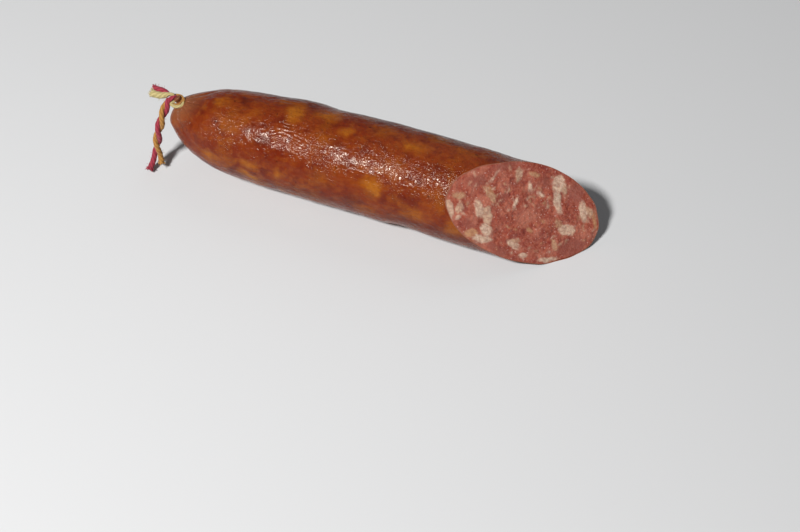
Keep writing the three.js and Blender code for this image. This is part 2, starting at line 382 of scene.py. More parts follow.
def cured_meat():
    """Cured minced meat: moist pink lean with soft beige fat, fibrous where it is cut along, and small wet
    glints on it, partly from its gloss and partly painted in as pale specks."""
    material, tree = new_material("cured_minced_meat")
    mm = placed(tree)
    fat = node(tree, "ShaderNodeAttribute", out="Fac", attribute_name="fat")
    tan = node(tree, "ShaderNodeAttribute", out="Fac", attribute_name="tan")
    smooth = node(tree, "ShaderNodeAttribute", out="Fac", attribute_name="smooth")
    grain = node(tree, "ShaderNodeTexNoise", {
        "Vector": pushed(tree, mm, 1.6, 0.6), "Scale": 1 / 1.1, "Detail": 3.0, "Roughness": 0.6})
    lean = tinted(tree, "#873b2e", "#a25743", grain, 0.30, 0.72)
    lean = blotched(tree, lean, "#b4705b", mm, 5.0, 0.42, 0.66, 0.6)
    lean = blotched(tree, lean, "#742a24", placed(tree, shift=(7.0, 1.0, 4.0)), 3.4, 0.53, 0.70, 0.6)
    # Painted highlights: small pale specks that stand for wet glints on the lean
    lean = blotched(tree, lean, "#c89c8e", placed(tree, shift=(3.0, 9.0, 2.0)), 0.7, 0.65, 0.74, 0.7, 1.0)
    lean = tinted(tree, lean, "#8b4a3d", smooth, 0.0, 1.0, 0.75)
    along_fibres = pushed(tree, placed(tree, (1.4, 0.8, 1.0)), 2.0, 1.0)
    fibres = node(tree, "ShaderNodeTexNoise", {
        "Vector": along_fibres, "Scale": 1 / 1.3, "Detail": 3.0, "Roughness": 0.6})
    pale = tinted(tree, "#ac8b78", "#d6baa2", fibres, 0.32, 0.68)
    brown = tinted(tree, "#9c6848", "#b4845c", fibres, 0.36, 0.66)
    fat_colour = node(tree, "ShaderNodeMix", {0: tan, 6: pale, 7: brown}, 2, data_type="RGBA")
    colour = tinted(tree, lean, fat_colour, fat, 0.0, 1.05, 0.92)
    normal = roughened(tree, mm, 0.6, 0.05)
    normal = roughened(tree, pushed(tree, mm, 0.9, 0.4), 1.2, 0.24, 0.8, normal)
    finish_surface(
        tree, Base_Color=colour, Normal=normal, IOR=1.45, Specular_IOR_Level=0.45,
        Roughness=node(tree, "ShaderNodeMath", {0: grain, 1: 0.26, 2: 0.12}, operation="MULTIPLY_ADD"),
        Subsurface_Weight=0.18, Subsurface_Radius=(1.0, 0.4, 0.25), Subsurface_Scale=1.2 * MM)
    return material


YARNS_ROUND_PLY, YARN_SLANT_PER_MM, YARN_HEIGHT, FIBRE_HEIGHT = 4.0, 0.45, 0.16, 0.06


def dyed_cotton(colour_name, dark, light, worn):
    """Spun cotton ply, dyed and matt: yarns slant round it, painted darker in the grooves between them as
    shade, with lighter worn fibres on top.
    """
    material, tree = new_material("dyed_cotton_" + colour_name)
    mm = placed(tree)
    strand = node(tree, "ShaderNodeSeparateXYZ", {0: node(tree, "ShaderNodeUVMap", uv_map="strand")})
    slant = node(tree, "ShaderNodeMath", {0: strand, 1: YARNS_ROUND_PLY}, operation="MULTIPLY")
    slant = node(tree, "ShaderNodeMath", {0: strand.node.outputs[1], 1: YARN_SLANT_PER_MM, 2: slant},
                 operation="MULTIPLY_ADD")
    wobble = node(tree, "ShaderNodeTexNoise", {"Vector": mm, "Scale": 1 / 0.9, "Detail": 2.0})
    turns = node(tree, "ShaderNodeMath", {0: wobble, 1: 0.5, 2: slant}, operation="MULTIPLY_ADD")
    phase = node(tree, "ShaderNodeMath", {0: turns, 1: 2 * math.pi}, operation="MULTIPLY")
    wave = node(tree, "ShaderNodeMath", {0: phase}, operation="SINE")
    yarn = node(tree, "ShaderNodeMath", {0: wave, 1: 0.5, 2: 0.5}, operation="MULTIPLY_ADD")
    fibres = node(tree, "ShaderNodeTexNoise", {
        "Vector": mm, "Scale": 1 / 0.18, "Detail": 3.0, "Roughness": 0.7})
    # Painted shade: the ply is darker in the grooves between yarns and lighter on their crowns, following the
    # yarn bump
    colour = node(tree, "ShaderNodeMapRange", {"Value": yarn, "To Max": 0.75})
    colour = node(tree, "ShaderNodeMix", {0: colour, 6: dark, 7: light}, 2, data_type="RGBA")
    colour = tinted(tree, colour, worn, fibres, 0.52, 0.72, 0.45)
    normal = node(tree, "ShaderNodeBump", {"Height": fibres, "Distance": FIBRE_HEIGHT * MM, "Strength": 0.8})
    normal = node(tree, "ShaderNodeBump", {
        "Height": yarn, "Distance": YARN_HEIGHT * MM, "Strength": 0.9, "Normal": normal})
    finish_surface(tree, Base_Color=colour, Normal=normal, Roughness=0.85, IOR=1.5, Specular_IOR_Level=0.2,
                   Sheen_Weight=0.15)
    return material


# Casing and its cut

def centreline_table():
    """The sausage's middle line from the tie on, its length up to each point, and its directions."""
    x = np.linspace(TIE_X, SWEEP_END_X, 6001)
    bow = BOW_CROWN - BOW_FALL * ((x - BOW_CROWN_X) / BOW_REACH) ** 2
    line = np.stack([x, bow, CENTRE_HEIGHT + CURL_HEIGHT * np.exp(-(x - TIE_X) / CURL_REACH)], 1)
    return line, lengths_along(line), unit(np.gradient(line, axis=0))


CENTRELINE, CENTRELINE_ALONG, CENTRELINE_TANGENTS = centreline_table()
SWEEP_LENGTH = CENTRELINE_ALONG[-1]
TIE_POINT = CENTRELINE[0]
RING_AXIS = unit(-0.30 * PICTURE_RIGHT + 0.35 * PICTURE_UP + 0.88 * TO_CAMERA)


def centre_at(distance):
    """Middles of the sections: shifted at the neck, and past the tie straight on through the string."""
    centre = read_off(distance, CENTRELINE_ALONG, CENTRELINE)
    shift = NECK_SHIFT_RIGHT * np.exp(-np.abs(distance) / NECK_SHIFT_REACH)
    return centre + PICTURE_RIGHT * shift[..., None] + RING_AXIS * np.maximum(-distance, 0)[..., None]


def section_radius(distance):
    """Radius of the sections: a small stub, the tied neck, and the full casing beyond its round shoulder."""
    out = (-distance - NECK_HALF) / (STUB_LENGTH - NECK_HALF)
    stub = NECK_RADIUS + (STUB_RADIUS - NECK_RADIUS) * np.sin(np.clip(out, 0, 1) * math.pi * 0.62)
    past = np.maximum(distance - NECK_HALF, 0)
    full = CASING_RADIUS * (1 - np.exp(-past / TAPER_LENGTH)) ** TAPER_POWER
    return np.where(distance < -NECK_HALF, stub, np.maximum(NECK_RADIUS, full))


def swell(distance, angle):
    """Long low swellings of the casing, which start beyond the shoulder."""
    height = sum(h * np.sin(2 * math.pi * distance / length + lobes * angle + phase)
                 for length, lobes, phase, h in SWELLINGS)
    return height * smoothstep(distance, SWELLING_START, 2.4 * SWELLING_START)


def fold_share(distance, angle):
    """Share of the radius that the gathered folds take off near the tie."""
    wander = 0.7 * np.sin(2 * angle + 0.8) + 0.4 * np.sin(5 * angle)
    crease = 1 - np.abs(np.cos((FOLD_COUNT * angle + wander) / 2))
    share = FOLD_DEPTH * np.exp(-np.abs(distance) / FOLD_REACH) * crease ** 2
    fine = 0.5 + 0.5 * np.sin(FINE_FOLD_COUNT * angle + 2.5 * np.sin(3 * angle) + 0.25 * distance)
    return share + FINE_FOLD_DEPTH * np.exp(-np.abs(distance) / FINE_FOLD_REACH) * fine


def flap(distance, angle):
    """Height of the small fold of casing that hangs under the string."""
    turn = off_angle(angle, FLAP_ANGLE) / FLAP_SPREAD
    return FLAP_HEIGHT * np.exp(-((distance - FLAP_DISTANCE) / FLAP_REACH) ** 2 - turn ** 2)


def casing_points(distance, angle, lift=0.0):
    """Points of the casing at distances from the tie and angles round it, lifted off it by a height."""
    centre = centre_at(distance)
    tangent = read_off(distance, CENTRELINE_ALONG, CENTRELINE_TANGENTS)
    side = unit(np.cross([0.0, 0.0, 1.0], tangent))
    up = np.cross(tangent, side)
    reach = section_radius(distance) * (1 - fold_share(distance, angle)) + swell(distance, angle) + lift
    reach = reach + flap(distance, angle)
    return centre + side * (reach * np.cos(angle))[..., None] + up * (reach * np.sin(angle))[..., None]


CUT_LONG = np.array([0.0, math.cos(CUT_ROLL), math.sin(CUT_ROLL)])
CUT_OUT = np.array([math.cos(CUT_TILT), 0, 0]) - math.sin(CUT_TILT) * CUT_LONG
CUT_SLOPE = np.array([math.sin(CUT_TILT), 0, 0]) + math.cos(CUT_TILT) * CUT_LONG
CUT_ACROSS = np.cross(CUT_OUT, CUT_SLOPE)
CUT_ORIGIN = np.array([CUT_X, centre_at(np.array(0.8 * SWEEP_LENGTH))[1], CENTRE_HEIGHT])


def cut_relief(x, y):
    """How far the cut stands out of its plane: gentle bumps, and a dip where the knife went in."""
    heel = np.maximum(-x / (CASING_RADIUS / math.cos(CUT_TILT)), 0)
    bumps = np.sin(0.41 * x + 1.1) * np.sin(0.52 * y + 0.4) + 0.5 * np.sin(0.67 * x - 0.45 * y)
    return CUT_RELIEF * bumps - CUT_HEEL_DIP * np.minimum(heel, 1.2) ** 4 * math.cos(CUT_TILT)


SEARCH_START, SEARCH_STEPS = 60.0, 40


def cut_distance(angle, lift):
    """How far from the tie the casing, lifted by a height, meets the cut at each angle."""
    low, high = np.full(angle.shape, SEARCH_START), np.full(angle.shape, SWEEP_LENGTH)
    for _ in range(SEARCH_STEPS):
        middle = (low + high) / 2
        rel = casing_points(middle, angle, lift) - CUT_ORIGIN
        beyond = rel @ CUT_OUT > cut_relief(rel @ CUT_SLOPE, rel @ CUT_ACROSS)
        high = np.where(beyond, middle, high)
        low = np.where(beyond, low, middle)
    return (low + high) / 2


# Groups of short parallel wrinkles: distance from the tie, angle round it, tilt, lines, spacing, length
WRINKLE_GROUPS = [
    (49.5, 1.92, 0.05, 5, 1.35, 2.6), (47.0, 2.25, -0.40, 4, 1.3, 3.0), (54.0, 2.20, 0.30, 4, 1.3, 3.4),
    (62.0, 2.50, -0.60, 3, 1.1, 3.6), (80.0, 2.12, 0.05, 4, 0.9, 3.0), (93.0, 2.20, -0.10, 4, 0.9, 3.4),
    (28.0, 2.75, 0.50, 3, 1.1, 3.0), (70.0, 2.80, 0.30, 3, 1.2, 4.0), (105.0, 2.60, -0.35, 4, 1.0, 3.6),
    (40.0, 0.60, 0.25, 4, 1.2, 4.0), (75.0, 0.20, -0.40, 5, 1.1, 4.4), (100.0, 1.10, 0.45, 4, 1.1, 3.8),
    (58.0, 4.30, 0.15, 4, 1.2, 4.0), (90.0, 5.40, -0.25, 4, 1.1, 4.0)]
WRINKLE_HEIGHT = 0.13


def wrinkles(distance, angle):
    """Height of the wrinkles."""
    height = np.zeros(distance.shape)
    for at, turn, tilt, lines, spacing, length in WRINKLE_GROUPS:
        across = CASING_RADIUS * off_angle(angle, turn)
        along = distance - at
        u = along * math.cos(tilt) + across * math.sin(tilt)
        v = across * math.cos(tilt) - along * math.sin(tilt)
        reach = np.exp(-(u / length) ** 2 - (v / (0.5 * lines * spacing)) ** 2)
        height += WRINKLE_HEIGHT * reach * np.cos(2 * math.pi * v / spacing + 0.35 * u)
    return height


def casing_lift(distance, angle, points):
    """Real relief of the dried casing: lumps of meat and fat below it, and its wrinkles."""
    calm = smoothstep(distance, 2.0, 14.0)
    lumps = 0.13 * field(points, 7.5, 3.1) + 0.05 * field(points, 3.1, 8.4)
    crinkle = 0.06 * (1 - 4 * np.abs(field(points * [0.6, 1, 1], 2.1, 5.7)))
    return calm * (lumps + crinkle + wrinkles(distance, angle))


# Fat that shows through the casing: distance from the tie, angle round it, half length, half width, strength
CASING_FAT = [
    (19.8, 1.62, 5.0, 3.4, 0.80), (26.5, 2.13, 4.5, 2.6, 0.55), (50.5, 1.52, 3.2, 5.5, 0.95),
    (43.4, 1.22, 3.0, 4.0, 0.60), (62.2, 1.36, 4.6, 4.6, 0.80), (70.6, 1.72, 3.4, 2.8, 0.80),
    (83.7, 1.41, 5.0, 3.6, 0.55), (96.6, 1.63, 5.2, 3.0, 0.80), (103.5, 1.11, 5.0, 3.5, 0.90),
    (49.6, 2.97, 2.2, 2.8, 0.80), (37.4, 2.93, 3.6, 2.6, 0.90), (21.4, 3.18, 5.0, 3.2, 0.85),
    (27.2, 2.57, 3.0, 2.0, 0.50), (86.0, 2.67, 3.6, 4.4, 1.00), (102.6, 3.03, 4.0, 3.2, 0.85),
    (95.3, 2.85, 3.2, 2.2, 0.50), (111.5, 2.72, 3.2, 3.0, 0.60), (118.8, 3.15, 4.0, 3.4, 0.80),
    (66.2, 2.90, 4.6, 2.0, 0.50), (35.6, 1.76, 4.0, 2.2, 0.45), (10.2, 1.92, 2.6, 2.2, 0.40),
    (113.3, 1.30, 4.0, 3.0, 0.50), (71.3, 2.55, 3.2, 2.0, 0.35), (92.3, 2.13, 4.0, 3.0, 0.40),
]
# Dark meat that shows through it, in the same terms. The long bands at angles 0.8 to 1.25 along the top edge,
# and at about 3.4 along the lower side, are painted shade, not meat
CASING_DARK_AND_SHADE = [
    (28.3, 1.44, 2.4, 1.8, 0.9), (54.2, 1.21, 3.0, 2.0, 0.7), (41.7, 2.33, 4.5, 3.0, 0.6),
    (74.1, 2.30, 3.5, 3.0, 0.5), (78.1, 3.15, 5.5, 3.0, 0.6), (60.0, 3.30, 6.0, 3.0, 0.6),
    (32.0, 3.40, 5.0, 3.0, 0.6), (108.0, 2.00, 5.0, 3.0, 0.4), (44.0, 0.82, 17.0, 4.0, 0.75),
    (74.0, 0.86, 15.0, 3.6, 0.75), (104.0, 0.80, 17.0, 4.0, 0.8), (90.0, 1.25, 6.0, 2.0, 0.5),
    (48.0, 1.05, 9.0, 2.4, 0.6), (82.0, 1.10, 8.0, 2.2, 0.7), (108.0, 1.12, 9.0, 2.2, 0.7),
    (62.0, 3.42, 26.0, 3.6, 0.5), (108.0, 3.36, 22.0, 3.6, 0.55),
]
# The angles that the camera sees, and how many random patches there are beyond them
SEEN_ANGLES = (0.9, 3.3)
HIDDEN_PATCHES = 46


def casing_marks(distance, angle, points):
    """Shares of fat and of dark meat that show through the casing; the dark share also holds painted shade
    along the casing's top and lower edges.
    """
    rng = random.Random(SEED + 4)
    fat_patches, dark_and_shade_patches = list(CASING_FAT), list(CASING_DARK_AND_SHADE)
    for i in range(HIDDEN_PATCHES):
        turn = SEEN_ANGLES[1] + rng.random() * (2 * math.pi - SEEN_ANGLES[1] + SEEN_ANGLES[0])
        at, half_length, half_width = rng.uniform(8, 148), rng.uniform(2.4, 5.2), rng.uniform(2.0, 4.4)
        made = (at, turn, half_length, half_width, rng.uniform(0.4, 1.0))
        (dark_and_shade_patches if i % 4 == 3 else fat_patches).append(made)
    push_along = 2.2 * field(points, 6.0, 2.5) + 0.9 * field(points, 2.4, 6.5)
    push_around = 2.2 * field(points, 6.0, 12.5) + 0.9 * field(points, 2.4, 16.5)

    def share(patches):
        most = np.zeros(distance.shape)
        for at, turn, half_length, half_width, strength in patches:
            around = CASING_RADIUS * off_angle(angle, turn)
            reach = np.hypot((distance + push_along - at) / half_length, (around + push_around) / half_width)
            most = np.maximum(most, strength * (1 - smoothstep(reach, 0.25, 1.75)))
        return most

    return share(fat_patches), share(dark_and_shade_patches)


def grid_faces(rows, columns, start=0):
    """Faces between rings of vertices that follow each other."""
    faces = []
    for i in range(rows - 1):
        a, b = start + i * columns, start + (i + 1) * columns
        faces += [(a + j, a + (j + 1) % columns, b + (j + 1) % columns, b + j) for j in range(columns)]
    return faces


def fan_faces(centre, ring_start, columns, outward):
    """Faces from a middle vertex to a ring."""
    faces = [(centre, ring_start + (j + 1) % columns, ring_start + j) for j in range(columns)]
    return faces if outward else [f[::-1] for f in faces]


def mark_sharp(piece, rings):
    """Keeps the shading crisp along rings of vertices, given by their first vertex and their length."""
    mesh = piece.data
    ends = np.empty(len(mesh.edges) * 2, int)
    mesh.edges.foreach_get("vertices", ends)
    ring_of = np.zeros(len(mesh.vertices), int)
    for number, (start, length) in enumerate(rings, 1):
        ring_of[start:start + length] = number
    first, second = ring_of[ends[0::2]], ring_of[ends[1::2]]
    sharp = (first > 0) & (first == second)
    mesh.attributes.new("sharp_edge", "BOOLEAN", "EDGE").data.foreach_set("value", sharp)


# Where the rings start to lean to the cut, how many lose their relief at its rim, and the stub's hollow end
SLIDE_START, RIM_RINGS, STUB_HOLLOW = 22.0, 6, 0.35


def make_body(materials):
    """The casing from its stub to the cut, closed behind a shallow recess that holds the cut meat."""
    turn = np.linspace(0, 2 * math.pi, BODY_SIDES, endpoint=False)
    rim = cut_distance(turn, 0.0)
    share = np.linspace(0, 1, BODY_RINGS)
    furthest = rim.max()
    denser_at_tie = 0.30 * share ** 2.2 + 0.70 * share
    base = -STUB_LENGTH + (furthest + STUB_LENGTH) * denser_at_tie
    slide = smoothstep(base, SLIDE_START, furthest)
    distance = base[:, None] + slide[:, None] * (rim - furthest)
    distance[-1] = rim
    angle = np.broadcast_to(turn, distance.shape)
    plain = casing_points(distance, angle)
    lift = casing_lift(distance.ravel(), angle.ravel(), plain.reshape(-1, 3)).reshape(distance.shape)
    fade = 1 - smoothstep(np.arange(BODY_RINGS), BODY_RINGS - RIM_RINGS, BODY_RINGS - 1)
    skin = casing_points(distance, angle, lift * fade[:, None])
    inner_rim = cut_distance(turn, -CASING_WALL)
    rings = [skin, casing_points(inner_rim, turn, -CASING_WALL)[None]]
    rings += [casing_points(inner_rim - d, turn, -CASING_WALL)[None] for d in (1.0, 2.0, RECESS_DEPTH)]
    body = np.concatenate(rings)
    body[:BODY_RINGS, :, 2] = np.maximum(body[:BODY_RINGS, :, 2], 0)
    body[BODY_RINGS:, :, 2] = np.maximum(body[BODY_RINGS:, :, 2], CASING_WALL)
    stub_end = centre_at(np.array(-STUB_LENGTH + STUB_HOLLOW))
    floor = body[-1].mean(0)
    vertices = np.vstack([body.reshape(-1, 3), stub_end, floor])
    rows = len(body)
    faces = grid_faces(rows, BODY_SIDES)
    faces += fan_faces(rows * BODY_SIDES, 0, BODY_SIDES, True)
    faces += fan_faces(rows * BODY_SIDES + 1, (rows - 1) * BODY_SIDES, BODY_SIDES, False)
    # The dark share holds dark meat under the casing and painted shade along its top and lower edges
    fat, dark = casing_marks(distance.ravel(), angle.ravel(), plain.reshape(-1, 3))
    pieces = Pieces()
    pieces.add(vertices, faces)
    rim_start = (BODY_RINGS - 1) * BODY_SIDES
    pieces.slots[rim_start:rim_start + BODY_SIDES] = [1] * BODY_SIDES
    piece = pieces.make("sausage_casing", materials, fat=fat, dark=dark)
    mark_sharp(piece, [(rim_start, BODY_SIDES), (rim_start + BODY_SIDES, BODY_SIDES)])
    return piece


# Fat on the cut: place along the slope and across it, half length, half width, turn in degrees, and tan share
FAT = [
    (-29.2, -4.1, 3.7, 1.9, -66, 0.20), (-25.3, -3.0, 2.1, 1.3, 84, 0.35), (-26.6, 1.2, 2.6, 1.2, 5, 0.75),
    (-25.0, -6.4, 1.3, 0.8, 37, 0.10), (-18.1, -1.7, 3.7, 1.6, -55, 0.10), (-14.5, -3.5, 3.4, 2.0, -65, 0.35),
    (-13.5, -8.6, 2.6, 1.9, -48, 0.00), (-14.3, -11.9, 3.5, 1.6, 2, 0.05), (-18.8, -10.7, 2.6, 1.3, 22, 0.90),
    (-15.4, 3.9, 3.4, 1.3, -39, 0.70), (-15.4, 5.3, 2.0, 0.8, -59, 0.90), (-15.4, 10.5, 2.4, 0.35, 67, 0.00),
    (-4.9, 2.8, 2.1, 0.75, 80, 0.00), (-8.8, 6.9, 1.3, 0.5, -81, 0.10), (-6.7, 12.6, 2.7, 1.1, -83, 0.45),
    (-5.8, 13.4, 1.4, 0.6, 82, 0.20), (-0.7, 14.2, 2.1, 1.0, 0, 0.85), (-1.0, 9.3, 1.9, 0.8, -62, 0.10),
    (3.9, 7.7, 1.5, 0.7, -22, 0.00), (1.5, 6.3, 1.1, 0.5, -60, 0.70), (9.7, 12.6, 3.2, 2.5, -71, 0.10),
    (12.1, 11.3, 2.9, 1.2, -71, 0.40), (11.0, 6.3, 4.6, 1.4, -66, 0.00), (7.9, 4.3, 1.0, 0.4, -74, 0.10),
    (22.0, 4.6, 3.9, 1.7, -63, 0.15), (24.3, 4.8, 2.4, 1.3, -41, 0.55), (27.3, 2.5, 3.3, 0.9, -71, 0.95),
    (17.3, -3.0, 3.5, 1.9, 6, 0.15), (13.9, -1.5, 2.2, 0.8, -35, 0.70), (14.0, -9.2, 2.3, 1.1, -44, 0.75),
    (3.0, -5.8, 1.4, 0.8, -42, 0.90), (-5.4, -6.0, 1.3, 0.5, -14, 0.80), (-1.9, -11.8, 2.8, 1.2, -25, 0.20),
    (-1.7, -10.4, 1.9, 0.9, -7, 0.55), (3.0, -15.3, 1.5, 0.9, 21, 0.00), (13.0, -14.9, 3.9, 0.9, 12, 0.05),
    (15.5, -16.4, 1.9, 0.8, -7, 0.90), (12.5, -12.0, 0.7, 0.5, 10, 0.00),
]
# Whole pieces of lean, smoother and darker than the minced meat round them
LEAN = [
    (21.0, -9.1, 5.1, 3.4, 23), (17.2, 10.9, 3.6, 2.7, -53), (-12.1, 14.8, 4.6, 1.6, 21),
    (-7.4, -14.8, 4.3, 1.6, -14), (-20.7, -7.8, 2.9, 1.7, -23), (-21.8, 7.4, 4.2, 2.2, 20),
    (4.8, 12.4, 2.4, 1.3, -53), (-10.4, 3.2, 2.3, 1.3, 56),
]
# Small flecks of fat between them: how many, and the half axes of the oval that they lie in
FLECK_COUNT, FLECKS_HALF_LENGTH, FLECKS_HALF_WIDTH = 70, 29, 16.5


def meat_masks(x, y):
    """Shares of fat, of tan in it, and of smooth lean at each point of the cut."""
    rng = random.Random(SEED)
    flecks = []
    for _ in range(FLECK_COUNT):
        radius, turn = math.sqrt(rng.random()), rng.uniform(0, 2 * math.pi)
        size = rng.uniform(0.3, 0.6)
        place = (FLECKS_HALF_LENGTH * radius * math.cos(turn), FLECKS_HALF_WIDTH * radius * math.sin(turn))
        flecks.append((*place, size * rng.uniform(1.0, 2.2), size, rng.uniform(0, 180), rng.random()))
    flat = np.stack([x, y, np.zeros_like(x)], 1)
    push_x = 0.65 * field(flat, 2.2, 11.3) + 0.35 * field(flat, 0.8, 2.9)
    push_y = 0.65 * field(flat, 2.2, 23.7) + 0.35 * field(flat, 0.8, 6.1)

    def patch(cx, cy, half_length, half_width, turn, blur):
        c, s = math.cos(math.radians(turn)), math.sin(math.radians(turn))
        dx, dy = x + push_x - cx, y + push_y - cy
        along, across = (dx * c + dy * s) / half_length, (dy * c - dx * s) / half_width
        soft = blur / half_width
        return 1 - smoothstep(np.hypot(along, across), max(1 - soft, 0.1), 1 + soft)

    fat, tan, smooth = np.zeros_like(x), np.zeros_like(x), np.zeros_like(x)
    for cx, cy, half_length, half_width, turn, tone in FAT + flecks:
        here = patch(cx, cy, half_length, half_width, turn, 0.55) * (0.6 if half_width < 0.6 else 0.95)
        tan = np.where(here > fat, tone, tan)
        fat = np.maximum(fat, here)
    for lean in LEAN:
        smooth = np.maximum(smooth, patch(*lean, 0.7))
    speckle = field(flat, 0.9, 15.2) + 0.6 * field(flat, 0.45, 7.7)
    fat = np.clip(fat * (1 + 0.35 * speckle), 0, 1)
    return fat, tan, smooth * (1 - fat)


def make_meat(material):
    """The cut meat: a thin closed slab that fills the recess, its front as uneven as coarse meat is."""
    turn = np.linspace(0, 2 * math.pi, FACE_SIDES, endpoint=False)
    wall = -CASING_WALL - PLAY
    rim_distance = cut_distance(turn, wall)
    rim = casing_points(rim_distance, turn, wall)
    lowest = CASING_WALL + PLAY
    depth = np.maximum(CUT_ORIGIN[2] - rim[:, 2], lowest)
    above_flat = np.minimum(1, (CUT_ORIGIN[2] - lowest) / depth)
    rel = (rim - CUT_ORIGIN) * above_flat[:, None]
    rim_x, rim_y = rel @ CUT_SLOPE, rel @ CUT_ACROSS
    share = np.linspace(1, 0, FACE_RINGS, endpoint=False) ** 0.8
    x, y = np.outer(share, rim_x).ravel(), np.outer(share, rim_y).ravel()
    fat, tan, smooth = meat_masks(x, y)
    flat = np.stack([x, y, np.zeros_like(x)], 1)
    edge = smoothstep(np.repeat(share, FACE_SIDES), 1.0, 0.93)
    lean = 0.17 * field(flat, 1.5, 4.4) + 0.13 * field(flat, 0.8, 9.2)
    ripple = 0.20 * field(flat, 5.5, 1.7)
    calm = 1 - 0.65 * np.maximum(fat, smooth)
    height = cut_relief(x, y) + edge * (ripple + 0.10 * fat + 0.05 + lean * calm) - 0.03
    front = CUT_ORIGIN + np.outer(x, CUT_SLOPE) + np.outer(y, CUT_ACROSS) + np.outer(height, CUT_OUT)
    sides = [casing_points(rim_distance - d, turn, wall) for d in (1.0, 2.0, RECESS_DEPTH - PLAY)]
    middle = CUT_ORIGIN + CUT_OUT * cut_relief(0.0, 0.0)
    back = sides[-1].mean(0)
    vertices = np.vstack([front, middle[None], *sides, back[None]])
    vertices[:, 2] = np.maximum(vertices[:, 2], lowest)
    front_count = len(front)
    faces = grid_faces(FACE_RINGS, FACE_SIDES)
    faces += fan_faces(front_count, (FACE_RINGS - 1) * FACE_SIDES, FACE_SIDES, False)
    first_side = front_count + 1
    faces += [(j, first_side + j, first_side + (j + 1) % FACE_SIDES, (j + 1) % FACE_SIDES)
              for j in range(FACE_SIDES)]
    faces += [f[::-1] for f in grid_faces(len(sides), FACE_SIDES, first_side)]
    last_side = first_side + (len(sides) - 1) * FACE_SIDES
    faces += fan_faces(len(vertices) - 1, last_side, FACE_SIDES, True)
    pieces = Pieces()
    pieces.add(vertices, faces)
    piece = pieces.make("sausage_cut_meat", [material], fat=fat, tan=tan, smooth=smooth)
    mark_sharp(piece, [(0, FACE_SIDES)])
    return piece


# String

RED, OCHRE, CREAM = 0, 1, 2


def from_tie(right, up, near):
    """A point by its place in the camera's view: millimetres right of the tie, above it and nearer."""
    return TIE_POINT + right * PICTURE_RIGHT + up * PICTURE_UP + near * TO_CAMERA


FIBRE_SETTINGS = {
    "Hairs per square mm": 0.22, "Hair length": 0.75 * MM, "Hair thickness": 0.035 * MM,
    "Brush fibres per square mm": 6.0, "Brush length": 0.85 * MM, "Brush thickness": 0.16 * MM}
HAIR_TILT, SHORTEST_SHARE, LOWEST_FIBRE = 0.50, 0.4, 0.05


def fibre_tree():
    """Grows fibres on the faces of one ply: few fine hairs all over, and a thick brush on its cut end."""
    tree = bpy.data.node_groups.new("ply_fibres", "GeometryNodeTree")
    kinds = {"Strands": "NodeSocketGeometry", "Ply": "NodeSocketInt", "Cotton": "NodeSocketMaterial",
             "Seed": "NodeSocketInt", **{name: "NodeSocketFloat" for name in FIBRE_SETTINGS}}
    keys = {name: tree.interface.new_socket(name, in_out="INPUT", socket_type=kind).identifier
            for name, kind in kinds.items()}
    tree.interface.new_socket("Fibres", in_out="OUTPUT", socket_type="NodeSocketGeometry")
    given = {socket.name: socket for socket in tree.nodes.new("NodeGroupInput").outputs}
    on_ply = node(tree, "FunctionNodeCompare", {
        2: node(tree, "GeometryNodeInputMaterialIndex"), 3: given["Ply"]}, data_type="INT", operation="EQUAL")
    cut = node(tree, "GeometryNodeInputNamedAttribute", {"Name": "cut"}, data_type="FLOAT")

    def by_cut(hair, brush):
        return node(tree, "ShaderNodeMix", {0: cut, 2: given[hair], 3: given[brush]})

    per_metre = node(tree, "ShaderNodeMath", {
        0: by_cut("Hairs per square mm", "Brush fibres per square mm"), 1: 1 / MM ** 2}, operation="MULTIPLY")
    density = node(tree, "ShaderNodeMath", {0: per_metre, 1: on_ply}, operation="MULTIPLY")
    points = node(tree, "GeometryNodeDistributePointsOnFaces", {
        "Mesh": given["Strands"], "Density": density, "Seed": given["Seed"]})
    tilt = node(tree, "FunctionNodeRandomValue", {
        0: (-HAIR_TILT, -HAIR_TILT, -math.pi), 1: (HAIR_TILT, HAIR_TILT, math.pi), "Seed": given["Seed"]},
        data_type="FLOAT_VECTOR")
    turned = node(tree, "FunctionNodeRotateRotation", {0: points.node.outputs["Rotation"], 1: tilt},
                  rotation_space="LOCAL")
    share = node(tree, "FunctionNodeRandomValue", {
        2: SHORTEST_SHARE, 3: 1.0, "Seed": given["Seed"]}, 1, data_type="FLOAT")
    longest = by_cut("Hair length", "Brush length")
    length = node(tree, "ShaderNodeMath", {0: share, 1: longest}, operation="MULTIPLY")
    thickness = by_cut("Hair thickness", "Brush thickness")
    scale = node(tree, "ShaderNodeCombineXYZ", {0: thickness, 1: thickness, 2: length})
    bent = node(tree, "GeometryNodeCurveQuadraticBezier", {
        "Resolution": 4, "Start": (0.0, 0.0, -0.35), "Middle": (0.2, 0.0, 0.4), "End": (0.9, 0.0, 1.0)})
    round_profile = node(tree, "GeometryNodeCurvePrimitiveCircle", {"Resolution": 6, "Radius": 1.0})
    fibre = node(tree, "GeometryNodeCurveToMesh", {
        "Curve": bent, "Profile Curve": round_profile, "Fill Caps": True})
    grown = node(tree, "GeometryNodeInstanceOnPoints", {
        "Points": points, "Instance": fibre, "Rotation": turned, "Scale": scale})
    real = node(tree, "GeometryNodeRealizeInstances", {"Geometry": grown})
    node(tree, "NodeGroupOutput", {0: node(tree, "GeometryNodeSetMaterial", {
        "Geometry": real, "Material": given["Cotton"]})})
    return tree, keys


FIBRES, FIBRE_KEYS = fibre_tree()


